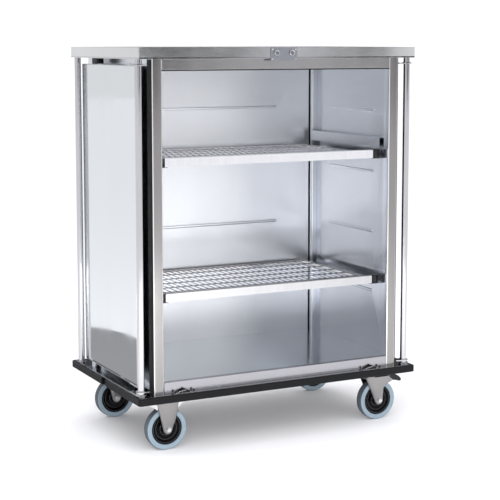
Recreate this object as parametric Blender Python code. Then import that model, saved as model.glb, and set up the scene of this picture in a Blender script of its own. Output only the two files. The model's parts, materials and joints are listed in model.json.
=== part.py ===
"""Closed stainless-steel transport trolley with two wrap-around doors and two pull-out wire shelves.

Units are metres, +Z is up. The origin lies on the floor under the middle of the trolley.
X runs along its length, and the doors are on the -Y side. Doors are parked open.
"""

import math

import bmesh
import bpy
import numpy as np
from mathutils import Matrix, Vector
from mathutils.geometry import tessellate_polygon

GAP = 0.0003

# Roof and base
ROOF_LENGTH = 1.166
ROOF_DEPTH = 0.690
ROOF_TOP = 1.490
ROOF_UNDERSIDE = 1.448
ROOF_SHEET = 0.002
ROOF_CORNER = 0.005
BASE_LENGTH = 1.166
BASE_DEPTH = 0.684
BASE_TOP = 0.226
BASE_UNDERSIDE = 0.196
BASE_SHEET = 0.003
CHANNEL_HALF_WIDTH = 0.060
CHANNEL_HALF_LENGTH = 0.315
BUMPER_THICKNESS = 0.012
BUMPER_LOW = 0.1995
BUMPER_HIGH = 0.2265
BUMPER_SIDE_GAP = 0.044
BUMPER_CORNER = 0.010

# Cabinet frame
FRAME_LENGTH = 1.042
FRAME_DEPTH = 0.640
POST_SIDE = 0.040
POST_WALL = 0.002
POST_CORNER = 0.003
RAIL_DEPTH = 0.022
SILL_TOP = 0.268
HEADER_UNDERSIDE = 1.409
SHEET = 0.002
WALL_SETBACK = 0.014
BEAD_HEIGHTS = (0.508, 0.750, 0.992, 1.236)
BEAD_DEPTH = 0.0025
BEAD_FOOT = 0.006
BEAD_CREST = 0.003
BEAD_ROOT = 0.0005
SIDE_BEAD_HALF = 0.172
BACK_BEAD_HALF = 0.317

# Upright push bars, which are also the door hinge axes
BAR_X = 0.568
BAR_Y = 0.309
BAR_RADIUS = 0.0125
BAR_BORE = 0.011

# Doors, measured from the bar axis in the closed position
LEAF_START = 0.066
LEAF_INNER = -0.013
LEAF_OUTER = -0.037
LEAF_LOW = 0.244
LEAF_HIGH = 1.424
LEAF_SHEET = 0.0015
LINER_DEPTH = 0.014
MEETING_X = 0.038
MEETING_GAP = 0.003
LIP_OVERLAP = 0.020
LIP_ROOT = 0.030
LIP_SHEET = 0.002
ARM_THICKNESS = 0.004
ARM_END = 0.150
ARM_EYE = 0.020
ARM_MARGIN = 0.001
ARM_BEVEL = 0.006
ARM_NECK = 0.028
TURNING_CLEARANCE = 0.0007
KEEPER_HALF_LENGTH = 0.030
KEEPER_HALF_WIDTH = 0.014
KEEPER_CORNER = 0.005
KEEPER_PLACE = (0.544, 0.150)
CATCH_PLACE = (0.405, -0.331)
CATCH_HALF_DEPTH = 0.008
CATCH_FOOT = 0.004
CATCH_STOP = 0.0075
CATCH_ROLLER = 0.0088
CATCH_ROLLER_FOOT = 0.012
CATCH_SLOPE = (0.029, 0.035)
CATCH_END = 0.042

# Locks
LOCK_X = 0.0
LOCK_HEIGHT = 1.469
LOCK_SPACING = 0.032
LOCK_PLATE_HALF = 0.056
LOCK_PLATE_LOW = 1.440
LOCK_PLATE_HIGH = 1.489
LOCK_PLATE_THICKNESS = 0.003
LOCK_PLATE_CORNER = 0.003
BARREL_RADIUS = 0.0108
BARREL_NOSE = 0.0095
BARREL_KEYHOLE = 0.0020
BARREL_SHOULDER = 0.0070
BARREL_LENGTH = 0.0085

# Shelves
SHELF_HALF_LENGTH = 0.447
SHELF_FRONT = -0.262
SHELF_BACK = 0.288
SHELF_RAIL_HEIGHT = 0.034
UPPER_SHELF = 1.0543
LOWER_SHELF = 0.5543
SHELF_BAR = 0.008
SHELF_BAR_HEIGHT = 0.020
SHELF_RAIL_DEPTH = 0.012
SHELF_RAIL_CORNER = 0.004
DECK_LIFT = 0.010
WIRE = 0.004
WIRE_COUNT = 19
CROSS_WIRE_COUNT = 4
RUNNER_FRONT = -0.268
RUNNER_BACK = 0.276
RUNNER_LEDGE = 0.011
UPPER_RUNNER_HEIGHT = 0.082
UPPER_RUNNER_TOP = 0.035
UPPER_RUNNER_HOOK = 0.040
LOWER_RUNNER_HEIGHT = 0.048

# Casters
CASTER_X = 0.450
SWIVEL_X = 0.440
CASTER_Y = 0.255
WHEEL_RADIUS = 0.080
TYRE_WIDTH = 0.036
TYRE_SHOULDER = 0.008
RIM_RADIUS = 0.060
RIM_RECESS = 0.003
RIM_STEP = 0.007
WEB_HALF = 0.008
HUB_RADIUS = 0.018
HUB_HALF = 0.020
AXLE_RADIUS = 0.006
AXLE_HALF = 0.031
LEG_INNER = 0.0225
LEG_OUTER = 0.0265
LEG_TIP = 0.018
PLATE_THICKNESS = 0.005
PLATE_HALF_LENGTH = 0.055
PLATE_HALF_WIDTH = 0.045
PLATE_CORNER = 0.008
BRACKET_HALF = 0.046
RACE_HEIGHT = 0.180
RACE_RADIUS = 0.030
RACE_GAP = 0.0005
CROWN_LOW = 0.1715
CROWN_RADIUS = 0.033
BRIDGE_FRONT = -0.027
BRIDGE_BACK = 0.046
BRIDGE_THICKNESS = 0.0055
TRAIL = 0.034

# Foot brake. The outlines are measured from its pivot, which is placed from the swivel axis.
BRAKE_PIVOT = (0.065, 0.1685)
BRAKE_EYE = 0.006
PEDAL_HALF_WIDTH = 0.019
PEDAL_PAD = ((0.004, -0.0105), (0.012, -0.015), (0.030, -0.014), (0.074, -0.024))
PEDAL_TREAD = ((0.080, -0.020), (0.079, -0.012), (0.060, -0.006), (0.036, 0.002), (0.012, 0.006))
FORK_WING = ((-0.0115, -0.0405), (0.009, -0.0215), (0.026, -0.017), (0.034, -0.011), (0.022, -0.001))
FORK_SHOULDER = 0.009


# ---------------------------------------------------------------- shapes


def rectangle(x0, x1, y0, y1):
    return [(x0, y0), (x1, y0), (x1, y1), (x0, y1)]


def rounded(x0, x1, y0, y1, radius, steps=4):
    """A rectangle with rounded corners, counter-clockwise."""
    centres = [
        (x1 - radius, y1 - radius, 0),
        (x0 + radius, y1 - radius, 90),
        (x0 + radius, y0 + radius, 180),
        (x1 - radius, y0 + radius, 270),
    ]
    points = []
    for cx, cy, start in centres:
        points += arc(cx, cy, radius, start, start + 90, steps)
    return points


def arc(cx, cy, radius, start, end, steps):
    angles = np.radians(np.linspace(start, end, steps + 1))
    return [(cx + radius * math.cos(a), cy + radius * math.sin(a)) for a in angles]


def circle(cx, cy, radius, steps=16):
    return arc(cx, cy, radius, 0, 360, steps)[:-1]


AXES = {
    "XY": Matrix.Identity(3),
    "XZ": Matrix(((1, 0, 0), (0, 0, 1), (0, 1, 0))),
    "YZ": Matrix(((0, 0, 1), (1, 0, 0), (0, 1, 0))),
}


def finished(bm, plane="XY"):
    """The mesh of a bmesh drawn in XY, turned into its plane, with its faces pointing outwards."""
    bmesh.ops.transform(bm, matrix=AXES[plane].to_4x4(), verts=bm.verts)
    bmesh.ops.remove_doubles(bm, verts=bm.verts, dist=1e-6)
    bmesh.ops.recalc_face_normals(bm, faces=bm.faces)
    mesh = bpy.data.meshes.new("shape")
    bm.to_mesh(mesh)
    bm.free()
    return mesh


def prism(loops, low, high, plane="XY"):
    """A flat shape, its outline first and then its holes, extruded across its plane."""
    bm = bmesh.new()
    bottom = []
    top = []
    for loop in loops:
        lower = [bm.verts.new((u, v, low)) for u, v in loop]
        upper = [bm.verts.new((u, v, high)) for u, v in loop]
        for i in range(len(loop)):
            j = (i + 1) % len(loop)
            bm.faces.new((lower[i], lower[j], upper[j], upper[i]))
        bottom += lower
        top += upper
    for a, b, c in tessellate_polygon([[Vector((u, v, 0)) for u, v in loop] for loop in loops]):
        bm.faces.new((bottom[a], bottom[b], bottom[c]))
        bm.faces.new((top[c], top[b], top[a]))
    return finished(bm, plane)


def tray(outer, inner, z_open, z_inside, z_closed, plane="XY"):
    """A pan: an outline with upstanding edges, open at z_open."""
    bm = bmesh.new()
    outer_open = [bm.verts.new((u, v, z_open)) for u, v in outer]
    outer_closed = [bm.verts.new((u, v, z_closed)) for u, v in outer]
    inner_open = [bm.verts.new((u, v, z_open)) for u, v in inner]
    inner_closed = [bm.verts.new((u, v, z_inside)) for u, v in inner]
    count = len(outer)
    for i in range(count):
        j = (i + 1) % count
        bm.faces.new((outer_open[i], outer_open[j], outer_closed[j], outer_closed[i]))
        bm.faces.new((inner_open[i], inner_open[j], inner_closed[j], inner_closed[i]))
        bm.faces.new((outer_open[i], outer_open[j], inner_open[j], inner_open[i]))
    bm.faces.new(outer_closed)
    bm.faces.new(inner_closed)
    return finished(bm, plane)


def turned(profile, steps=16, axis="Z"):
    """A closed ring profile of (radius, height) points, turned round an axis."""
    bm = bmesh.new()
    rings = []
    for radius, height in profile:
        rings.append([bm.verts.new((u, v, height)) for u, v in circle(0, 0, radius, steps)])
    for k, ring in enumerate(rings):
        other = rings[(k + 1) % len(rings)]
        for i in range(steps):
            j = (i + 1) % steps
            bm.faces.new((ring[i], ring[j], other[j], other[i]))
    turn = {"Z": Matrix.Identity(4), "Y": Matrix.Rotation(math.radians(90), 4, "X")}[axis]
    bmesh.ops.transform(bm, matrix=turn, verts=bm.verts)
    return finished(bm)


def rod(radius, low, high, axis="Z", steps=16):
    mesh = prism([circle(0, 0, radius, steps)], low, high)
    if axis == "Y":
        mesh.transform(Matrix.Rotation(math.radians(90), 4, "X"))
    return mesh


def moved(mesh, x=0.0, y=0.0, z=0.0):
    mesh.transform(Matrix.Translation((x, y, z)))
    return mesh


def combined(first, second, operation="UNION"):
    """One mesh out of two, by a Boolean."""
    base = bpy.data.objects.new("base", first)
    other = bpy.data.objects.new("other", second)
    for obj in (base, other):
        bpy.context.collection.objects.link(obj)
    modifier = base.modifiers.new("join", "BOOLEAN")
    modifier.operation = operation
    modifier.solver = "EXACT"
    modifier.object = other
    graph = bpy.context.evaluated_depsgraph_get()
    mesh = bpy.data.meshes.new_from_object(base.evaluated_get(graph))
    for obj in (base, other):
        bpy.data.objects.remove(obj)
    return mesh


def union(*meshes):
    result = meshes[0]
    for mesh in meshes[1:]:
        result = combined(result, mesh)
    return result


# ---------------------------------------------------------------- materials

FINISHES = {
    "roof_steel": ((0.55, 0.56, 0.57), 1.0, 0.32),
    "post_steel": ((0.47, 0.46, 0.45), 1.0, 0.30),
    "wall_steel": ((0.70, 0.73, 0.77), 1.0, 0.22),
    "door_steel": ((0.74, 0.76, 0.78), 1.0, 0.24),
    "chrome": ((0.78, 0.78, 0.80), 1.0, 0.10),
    "base_paint": ((0.020, 0.020, 0.022), 0.0, 0.45),
    "black_rubber": ((0.028, 0.028, 0.032), 0.0, 0.55),
    "black_plastic": ((0.015, 0.015, 0.016), 0.0, 0.42),
    "grey_tyre": ((0.25, 0.32, 0.37), 0.0, 0.60),
    "caster_steel": ((0.50, 0.50, 0.51), 1.0, 0.28),
}


def add(name, mesh, finish, location=(0, 0, 0), parent=None):
    """Puts a mesh in the scene under its node's name, with its own material."""
    colour, metallic, roughness = FINISHES[finish]
    material = bpy.data.materials.new(f"{name}_{finish}")
    material.use_nodes = True
    shader = material.node_tree.nodes["Principled BSDF"]
    shader.inputs["Base Color"].default_value = (*colour, 1)
    shader.inputs["Metallic"].default_value = metallic
    shader.inputs["Roughness"].default_value = roughness
    mesh.name = name
    mesh.materials.clear()
    mesh.materials.append(material)
    mesh.shade_smooth()
    mesh.set_sharp_from_angle(angle=math.radians(35))
    obj = bpy.data.objects.new(name, mesh)
    bpy.context.collection.objects.link(obj)
    obj.location = location
    obj.parent = parent
    return obj


def pivot(name, location, turn=0.0):
    empty = bpy.data.objects.new(name, None)
    bpy.context.collection.objects.link(empty)
    empty.location = location
    empty.rotation_euler = (0, 0, math.radians(turn))
    return empty


# ---------------------------------------------------------------- base


def build_base():
    half_x = BASE_LENGTH / 2
    half_y = BASE_DEPTH / 2
    outer = rectangle(-half_x, half_x, -half_y, half_y)
    edge = BASE_SHEET
    inner = rectangle(-half_x + edge, half_x - edge, -half_y + edge, half_y - edge)
    platform = tray(outer, inner, BASE_UNDERSIDE, BASE_TOP - BASE_SHEET, BASE_TOP)
    for side in (-1, 1):
        channel = caster_channel()
        platform = combined(platform, moved(channel, x=side * CASTER_X))
    add("base_platform", platform, "base_paint")
    for name, side in (("front_bumper", -1), ("rear_bumper", 1)):
        add(name, bumper_half(side), "black_rubber")


def caster_channel():
    """An upward-open channel under the platform, which the casters bolt to."""
    wide = CHANNEL_HALF_WIDTH
    low = BASE_UNDERSIDE
    high = BASE_TOP - BASE_SHEET / 2
    wall = BASE_SHEET
    outline = [
        (-wide, low),
        (wide, low),
        (wide, high),
        (wide - wall, high),
        (wide - wall, low + wall),
        (-wide + wall, low + wall),
        (-wide + wall, high),
        (-wide, high),
    ]
    return prism([outline], -CHANNEL_HALF_LENGTH, CHANNEL_HALF_LENGTH, "XZ")


def bumper_half(side):
    """A U-shaped strip round one long side of the base and half of each short side."""
    inner_x = BASE_LENGTH / 2 + GAP
    inner_y = BASE_DEPTH / 2 + GAP
    outer_x = inner_x + BUMPER_THICKNESS
    outer_y = inner_y + BUMPER_THICKNESS
    end = BUMPER_SIDE_GAP / 2
    radius = BUMPER_CORNER
    outline = [(outer_x, end)]
    outline += arc(outer_x - radius, outer_y - radius, radius, 0, 90, 4)
    outline += arc(-outer_x + radius, outer_y - radius, radius, 90, 180, 4)
    outline += [(-outer_x, end), (-inner_x, end), (-inner_x, inner_y), (inner_x, inner_y), (inner_x, end)]
    outline = [(x, side * y) for x, y in outline]
    return prism([outline], BUMPER_LOW, BUMPER_HIGH)


# ---------------------------------------------------------------- cabinet


def build_frame():
    post_low = BASE_TOP + GAP
    post_high = ROOF_UNDERSIDE - GAP
    centre_x = FRAME_LENGTH / 2 - POST_SIDE / 2
    centre_y = FRAME_DEPTH / 2 - POST_SIDE / 2
    half = POST_SIDE / 2
    hollow = half - POST_WALL
    for end, sy in (("front", -1), ("rear", 1)):
        for hand, sx in (("left", -1), ("right", 1)):
            loops = [
                rounded(-half, half, -half, half, POST_CORNER, 2),
                rounded(-hollow, hollow, -hollow, hollow, POST_CORNER - POST_WALL, 2),
            ]
            post = prism(loops, post_low, post_high)
            add(f"{end}_{hand}_post", post, "post_steel", (sx * centre_x, sy * centre_y, 0))
    inner_x = FRAME_LENGTH / 2 - POST_SIDE - GAP
    front = -FRAME_DEPTH / 2
    sill = channel_profile(front, BASE_TOP + GAP, SILL_TOP)
    add("sill_rail", prism([sill], -inner_x, inner_x, "YZ"), "post_steel")
    header = channel_profile(front, HEADER_UNDERSIDE, post_high)
    add("header_rail", prism([header], -inner_x, inner_x, "YZ"), "post_steel")


def channel_profile(front, low, high):
    """A folded channel, closed at the front and open to the back."""
    back = front + RAIL_DEPTH
    wall = SHEET
    return [
        (front, low),
        (back, low),
        (back, low + wall),
        (front + wall, low + wall),
        (front + wall, high - wall),
        (back, high - wall),
        (back, high),
        (front, high),
    ]


def beaded_sheet(face, half, bead_half, heights, plane):
    """A wall sheet that faces low u, with pressed beads standing out towards the inside."""
    low = BASE_TOP + GAP
    high = ROOF_UNDERSIDE - GAP
    sheet = prism([rectangle(face, face + SHEET, low, high)], -half, half, plane)
    root = face + BEAD_ROOT
    crest = face - BEAD_DEPTH
    for z in heights:
        outline = [(root, z - BEAD_FOOT), (root, z + BEAD_FOOT)]
        outline += [(crest, z + BEAD_CREST), (crest, z - BEAD_CREST)]
        sheet = combined(sheet, prism([outline], -bead_half, bead_half, plane))
    return sheet


def build_walls():
    side_face = FRAME_LENGTH / 2 - WALL_SETBACK - SHEET
    side_half = FRAME_DEPTH / 2 - POST_SIDE - GAP
    for hand, turn in (("right", 0), ("left", 180)):
        side = beaded_sheet(side_face, side_half, SIDE_BEAD_HALF, BEAD_HEIGHTS, "XZ")
        side.transform(Matrix.Rotation(math.radians(turn), 4, "Z"))
        add(f"{hand}_side_wall", side, "wall_steel")
    back_face = FRAME_DEPTH / 2 - WALL_SETBACK - SHEET
    inner_x = FRAME_LENGTH / 2 - POST_SIDE - GAP
    back = beaded_sheet(back_face, inner_x, BACK_BEAD_HALF, BEAD_HEIGHTS[1::2], "YZ")
    add("back_wall", back, "wall_steel")
    front_edge = -FRAME_DEPTH / 2 + RAIL_DEPTH + GAP
    wide = side_face - GAP
    outline = [
        (-inner_x, front_edge),
        (inner_x, front_edge),
        (inner_x, -side_half),
        (wide, -side_half),
        (wide, side_half),
        (inner_x, side_half),
        (inner_x, back_face - GAP),
        (-inner_x, back_face - GAP),
        (-inner_x, side_half),
        (-wide, side_half),
        (-wide, -side_half),
        (-inner_x, -side_half),
    ]
    add("cabinet_floor", prism([outline], SILL_TOP - SHEET, SILL_TOP), "wall_steel")


def build_roof():
    half_x = ROOF_LENGTH / 2
    half_y = ROOF_DEPTH / 2
    edge = ROOF_SHEET
    outer = rounded(-half_x, half_x, -half_y, half_y, ROOF_CORNER, 3)
    inner = inset_loop(half_x, half_y, edge, ROOF_CORNER)
    add("roof_canopy", tray(outer, inner, ROOF_UNDERSIDE, ROOF_TOP - edge, ROOF_TOP), "roof_steel")
    soffit = inset_loop(half_x, half_y, edge + GAP, ROOF_CORNER)
    plate = prism([soffit], ROOF_UNDERSIDE + GAP, ROOF_UNDERSIDE + GAP + SHEET)
    add("roof_soffit", plate, "wall_steel")


def inset_loop(half_x, half_y, inset, corner):
    """A centred rounded rectangle that lies evenly inside a larger one."""
    x = half_x - inset
    y = half_y - inset
    return rounded(-x, x, -y, y, corner - inset, 3)


def build_push_bars():
    """Upright tubes between base and roof. The doors turn round the front pair."""
    low = BASE_TOP + GAP
    high = ROOF_UNDERSIDE - GAP
    for end, sy in (("front", -1), ("rear", 1)):
        for hand, sx in (("left", -1), ("right", 1)):
            bar = prism([circle(0, 0, BAR_RADIUS, 20), circle(0, 0, BAR_BORE, 20)], low, high)
            add(f"{end}_{hand}_push_bar", bar, "chrome", (sx * BAR_X, sy * BAR_Y, 0))


# ---------------------------------------------------------------- doors


def build_door(hand, sign, parked_turn):
    """One leaf, drawn closed in front of the posts and turned back round its push bar."""
    hinge = pivot(f"{hand}_door_hinge", (-sign * BAR_X, -BAR_Y, 0), parked_turn)
    far = BAR_X + sign * MEETING_X - MEETING_GAP
    outer_loop = rectangle(LEAF_START, far, LEAF_LOW, LEAF_HIGH)
    t = LEAF_SHEET
    inner_loop = rectangle(LEAF_START + t, far - t, LEAF_LOW + t, LEAF_HIGH - t)
    skin = tray(outer_loop, inner_loop, LEAF_INNER, LEAF_OUTER + t, LEAF_OUTER, "XZ")
    if hand == "right":
        skin = combined(skin, meeting_lip(far))
    inset = t + GAP
    liner_loop = rectangle(LEAF_START + inset, far - inset, LEAF_LOW + inset, LEAF_HIGH - inset)
    deeper = inset + t
    hollow = rectangle(LEAF_START + deeper, far - deeper, LEAF_LOW + deeper, LEAF_HIGH - deeper)
    liner = tray(liner_loop, hollow, LEAF_INNER - LINER_DEPTH, LEAF_INNER - t, LEAF_INNER, "XZ")
    upper_arm = prism(arm_loops(), LEAF_HIGH + GAP, LEAF_HIGH + GAP + ARM_THICKNESS)
    lower_arm = prism(arm_loops(), LEAF_LOW - GAP - ARM_THICKNESS, LEAF_LOW - GAP)
    pieces = (
        ("outer_skin", skin, "door_steel"),
        ("inner_skin", liner, "door_steel"),
        ("upper_arm", upper_arm, "chrome"),
        ("lower_arm", lower_arm, "chrome"),
    )
    for name, mesh, finish in pieces:
        if sign < 0:
            mesh.transform(Matrix.Scale(-1, 4, (1, 0, 0)))
            mesh.flip_normals()
        add(f"{hand}_door_{name}", mesh, finish, parent=hinge)


def meeting_lip(far):
    """A strip on the front of one leaf that covers the joint and laps over the other leaf."""
    front = LEAF_OUTER - GAP - LIP_SHEET
    back = LEAF_OUTER - GAP
    root = LEAF_OUTER + LEAF_SHEET / 3
    edge = far - GAP
    outline = [
        (far - LIP_ROOT, front),
        (far + LIP_OVERLAP, front),
        (far + LIP_OVERLAP, back),
        (edge, back),
        (edge, root),
        (far - LIP_ROOT, root),
    ]
    return prism([outline], LEAF_LOW + LIP_SHEET, LEAF_HIGH - LIP_SHEET)


def arm_loops():
    """A flat arm with an eye round the push bar. It passes in front of the corner post."""
    front = LEAF_OUTER + ARM_MARGIN
    back = LEAF_INNER - ARM_MARGIN
    bevel = ARM_BEVEL
    outline = arc(0, 0, ARM_EYE, -25, 215, 8)
    outline += [(-ARM_EYE / 2, front + bevel), (bevel - ARM_EYE / 2, front)]
    outline += [(ARM_END - bevel, front), (ARM_END, front + bevel)]
    outline += [(ARM_END, back - bevel), (ARM_END - bevel, back), (ARM_NECK, back)]
    return [outline, circle(0, 0, BAR_RADIUS + TURNING_CLEARANCE, 12)]


def build_door_fittings():
    """Rubber keepers under the roof hold the parked leaves. Roller catches hold closed leaves."""
    keeper_low = LEAF_HIGH + ARM_THICKNESS / 2
    keeper_high = ROOF_UNDERSIDE - GAP
    for hand, side in (("left", -1), ("right", 1)):
        width = KEEPER_HALF_WIDTH
        length = KEEPER_HALF_LENGTH
        outline = rounded(-width, width, -length, length, KEEPER_CORNER, 2)
        keeper = prism([outline], keeper_low, keeper_high)
        keeper_x, keeper_y = KEEPER_PLACE
        add(f"{hand}_door_keeper", keeper, "black_rubber", (side * keeper_x, keeper_y, 0))
        catch = prism([catch_outline(BASE_TOP + GAP)], -CATCH_HALF_DEPTH, CATCH_HALF_DEPTH, "XZ")
        catch_x, catch_y = CATCH_PLACE
        add(f"{hand}_door_catch", catch, "black_plastic", (side * catch_x, catch_y, 0))


def catch_outline(low):
    """A roller between two stops on a foot plate, seen from the front."""
    foot = low + CATCH_FOOT
    stop = low + CATCH_STOP
    slope_foot, slope_top = CATCH_SLOPE
    right = [(CATCH_ROLLER_FOOT, foot), (slope_foot, foot), (slope_top, stop), (CATCH_END, stop)]
    outline = [(-CATCH_END, low), (CATCH_END, low), *right[::-1]]
    outline += arc(0, stop, CATCH_ROLLER, -10, 190, 10)
    outline += [(-x, z) for x, z in right]
    return outline


def build_locks():
    """A cover plate on the middle of the roof's front edge, with a key barrel for each leaf."""
    front = -ROOF_DEPTH / 2 - GAP
    left = LOCK_X - LOCK_PLATE_HALF
    right = LOCK_X + LOCK_PLATE_HALF
    outline = rounded(left, right, LOCK_PLATE_LOW, LOCK_PLATE_HIGH, LOCK_PLATE_CORNER, 2)
    places = (("left", LOCK_X - LOCK_SPACING), ("right", LOCK_X + LOCK_SPACING))
    holes = [circle(x, LOCK_HEIGHT, BARREL_RADIUS + TURNING_CLEARANCE, 20) for _, x in places]
    plate = prism([outline, *holes], front - LOCK_PLATE_THICKNESS, front, "XZ")
    add("lock_plate", plate, "chrome")
    for hand, x in places:
        profile = [
            (BARREL_KEYHOLE, GAP),
            (BARREL_RADIUS, GAP),
            (BARREL_RADIUS, BARREL_SHOULDER),
            (BARREL_NOSE, BARREL_LENGTH),
            (BARREL_KEYHOLE, BARREL_LENGTH),
        ]
        barrel = turned(profile, 16, "Y")
        add(f"{hand}_lock_barrel", barrel, "chrome", (x, front, LOCK_HEIGHT))


# ---------------------------------------------------------------- shelves


def build_shelf(level, base):
    """A wire deck in a rail frame, which slides forwards on two wall runners."""
    half = SHELF_HALF_LENGTH
    inner = half - SHELF_BAR
    ring = [
        rectangle(-half, half, SHELF_FRONT, SHELF_BACK),
        rectangle(-inner, inner, SHELF_FRONT + SHELF_BAR, SHELF_BACK - SHELF_BAR),
    ]
    frame = prism(ring, base, base + SHELF_BAR_HEIGHT)
    rail_back = SHELF_FRONT + SHELF_RAIL_DEPTH
    rail_loop = rounded(SHELF_FRONT, rail_back, base, base + SHELF_RAIL_HEIGHT, SHELF_RAIL_CORNER, 3)
    rail = prism([rail_loop], -half, half, "YZ")
    add(f"{level}_shelf_frame", combined(frame, rail), "chrome")
    deck = wire_deck(inner - GAP, rail_back + GAP, SHELF_BACK - SHELF_BAR - GAP, base + DECK_LIFT)
    add(f"{level}_shelf_deck", deck, "chrome")


def wire_deck(half, front, back, base):
    """Long wires and cross wires of one square section, as a single grid with open cells."""
    xs = wire_edges(-half, half, WIRE_COUNT)
    ys = wire_edges(front, back, CROSS_WIRE_COUNT)
    bm = bmesh.new()
    grid = {}
    for i, x in enumerate(xs):
        for j, y in enumerate(ys):
            grid[i, j] = (bm.verts.new((x, y, base)), bm.verts.new((x, y, base + WIRE)))
    filled = set()
    for i in range(len(xs) - 1):
        for j in range(len(ys) - 1):
            if i % 2 and j % 2:
                continue
            filled.add((i, j))
    for i, j in filled:
        corners = [grid[i, j], grid[i + 1, j], grid[i + 1, j + 1], grid[i, j + 1]]
        bm.faces.new([c[0] for c in corners][::-1])
        bm.faces.new([c[1] for c in corners])
        around = [(i, j - 1), (i + 1, j), (i, j + 1), (i - 1, j)]
        for k, cell in enumerate(around):
            if cell not in filled:
                a = corners[k]
                b = corners[(k + 1) % 4]
                bm.faces.new((a[0], b[0], b[1], a[1]))
    return finished(bm)


def wire_edges(low, high, count):
    """Both edges of each of a number of evenly spaced wires."""
    edges = []
    for start in np.linspace(low, high - WIRE, count):
        edges += [float(start), float(start) + WIRE]
    return edges


def build_runners():
    """Folded wall runners. The upper pair is tall and stops its shelf from tipping."""
    wall = FRAME_LENGTH / 2 - WALL_SETBACK - SHEET - GAP
    reach = SHELF_HALF_LENGTH - RUNNER_LEDGE
    for level, shelf in (("upper", UPPER_SHELF), ("lower", LOWER_SHELF)):
        low = shelf - GAP - SHEET
        if level == "upper":
            high = low + UPPER_RUNNER_HEIGHT
            lip = wall - UPPER_RUNNER_TOP
            hook = low + UPPER_RUNNER_HOOK
            outline = [
                (wall, low),
                (wall, high),
                (lip, high),
                (lip, hook),
                (lip + SHEET, hook),
                (lip + SHEET, high - SHEET),
                (wall - SHEET, high - SHEET),
            ]
        else:
            high = low + LOWER_RUNNER_HEIGHT
            outline = [(wall, low), (wall, high), (wall - SHEET, high)]
        outline += [(wall - SHEET, low + SHEET), (reach, low + SHEET), (reach, low)]
        for hand, side in (("left", -1), ("right", 1)):
            profile = [(side * x, z) for x, z in outline]
            runner = prism([profile], RUNNER_FRONT, RUNNER_BACK, "XZ")
            add(f"{level}_{hand}_runner", runner, "wall_steel")


# ---------------------------------------------------------------- casters


def build_wheel(corner, x, y):
    half = TYRE_WIDTH / 2
    shoulder = TYRE_SHOULDER
    tyre_profile = [
        (RIM_RADIUS + GAP, -half),
        (WHEEL_RADIUS - shoulder, -half),
        (WHEEL_RADIUS, -half + shoulder),
        (WHEEL_RADIUS, half - shoulder),
        (WHEEL_RADIUS - shoulder, half),
        (RIM_RADIUS + GAP, half),
    ]
    bore = AXLE_RADIUS + TURNING_CLEARANCE
    rim_face = half - RIM_RECESS
    web_end = RIM_RADIUS - RIM_STEP
    hub_profile = [
        (bore, -HUB_HALF),
        (HUB_RADIUS, -HUB_HALF),
        (HUB_RADIUS, -WEB_HALF),
        (web_end, -WEB_HALF),
        (RIM_RADIUS, -rim_face),
        (RIM_RADIUS, rim_face),
        (web_end, WEB_HALF),
        (HUB_RADIUS, WEB_HALF),
        (HUB_RADIUS, HUB_HALF),
        (bore, HUB_HALF),
    ]
    place = (x, y, WHEEL_RADIUS)
    add(f"{corner}_tyre", turned(tyre_profile, 24, "Y"), "grey_tyre", place)
    add(f"{corner}_wheel_hub", turned(hub_profile, 24, "Y"), "black_plastic", place)


def leg(outline, side):
    """One fork leg beside the wheel."""
    low, high = sorted((side * LEG_INNER, side * LEG_OUTER))
    return prism([outline], low, high, "XZ")


def mounting_plate():
    """The plate that bolts under the base."""
    top = BASE_UNDERSIDE - GAP
    length = PLATE_HALF_LENGTH
    width = PLATE_HALF_WIDTH
    return prism([rounded(-length, length, -width, width, PLATE_CORNER, 2)], top - PLATE_THICKNESS, top)


def axle(x=0.0):
    return moved(rod(AXLE_RADIUS, -AXLE_HALF, AXLE_HALF, "Y", 12), x=x, z=WHEEL_RADIUS)


def build_fixed_caster(corner, y):
    """A rigid bracket: top plate, two wide legs and the axle through them."""
    leg_top = BASE_UNDERSIDE - GAP - PLATE_THICKNESS / 2
    leg_half = BRACKET_HALF
    tip = arc(0, WHEEL_RADIUS, LEG_TIP, 200, 340, 6)
    outline = [(-leg_half, leg_top), *tip, (leg_half, leg_top)]
    bracket = union(mounting_plate(), leg(outline, -1), leg(outline, 1), axle())
    add(f"{corner}_caster_bracket", bracket, "caster_steel", (-CASTER_X, y, 0))
    build_wheel(corner, -CASTER_X, y)


def build_swivel_caster(corner, y):
    """A swivel caster: bearing plate, trailing fork with its axle, and a foot brake."""
    boss = rod(RACE_RADIUS, RACE_HEIGHT, BASE_UNDERSIDE - GAP - PLATE_THICKNESS / 2, "Z", 20)
    place = (SWIVEL_X, y, 0)
    add(f"{corner}_caster_plate", union(mounting_plate(), boss), "caster_steel", place)
    crown = prism([circle(0, 0, CROWN_RADIUS, 20)], CROWN_LOW, RACE_HEIGHT - RACE_GAP)
    bridge_loop = rectangle(BRIDGE_FRONT, BRIDGE_BACK, -LEG_OUTER, LEG_OUTER)
    bridge = prism([bridge_loop], CROWN_LOW, CROWN_LOW + BRIDGE_THICKNESS)
    outline = fork_outline()
    fork = union(crown, bridge, leg(outline, -1), leg(outline, 1), axle(TRAIL))
    add(f"{corner}_fork", fork, "caster_steel", place)
    build_wheel(corner, SWIVEL_X + TRAIL, y)
    lever = prism([pedal_outline()], -PEDAL_HALF_WIDTH, PEDAL_HALF_WIDTH, "XZ")
    pivot_x, pivot_z = BRAKE_PIVOT
    brake_place = (SWIVEL_X + pivot_x, y, pivot_z)
    add(f"{corner}_brake_pedal", lever, "black_plastic", brake_place)


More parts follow.
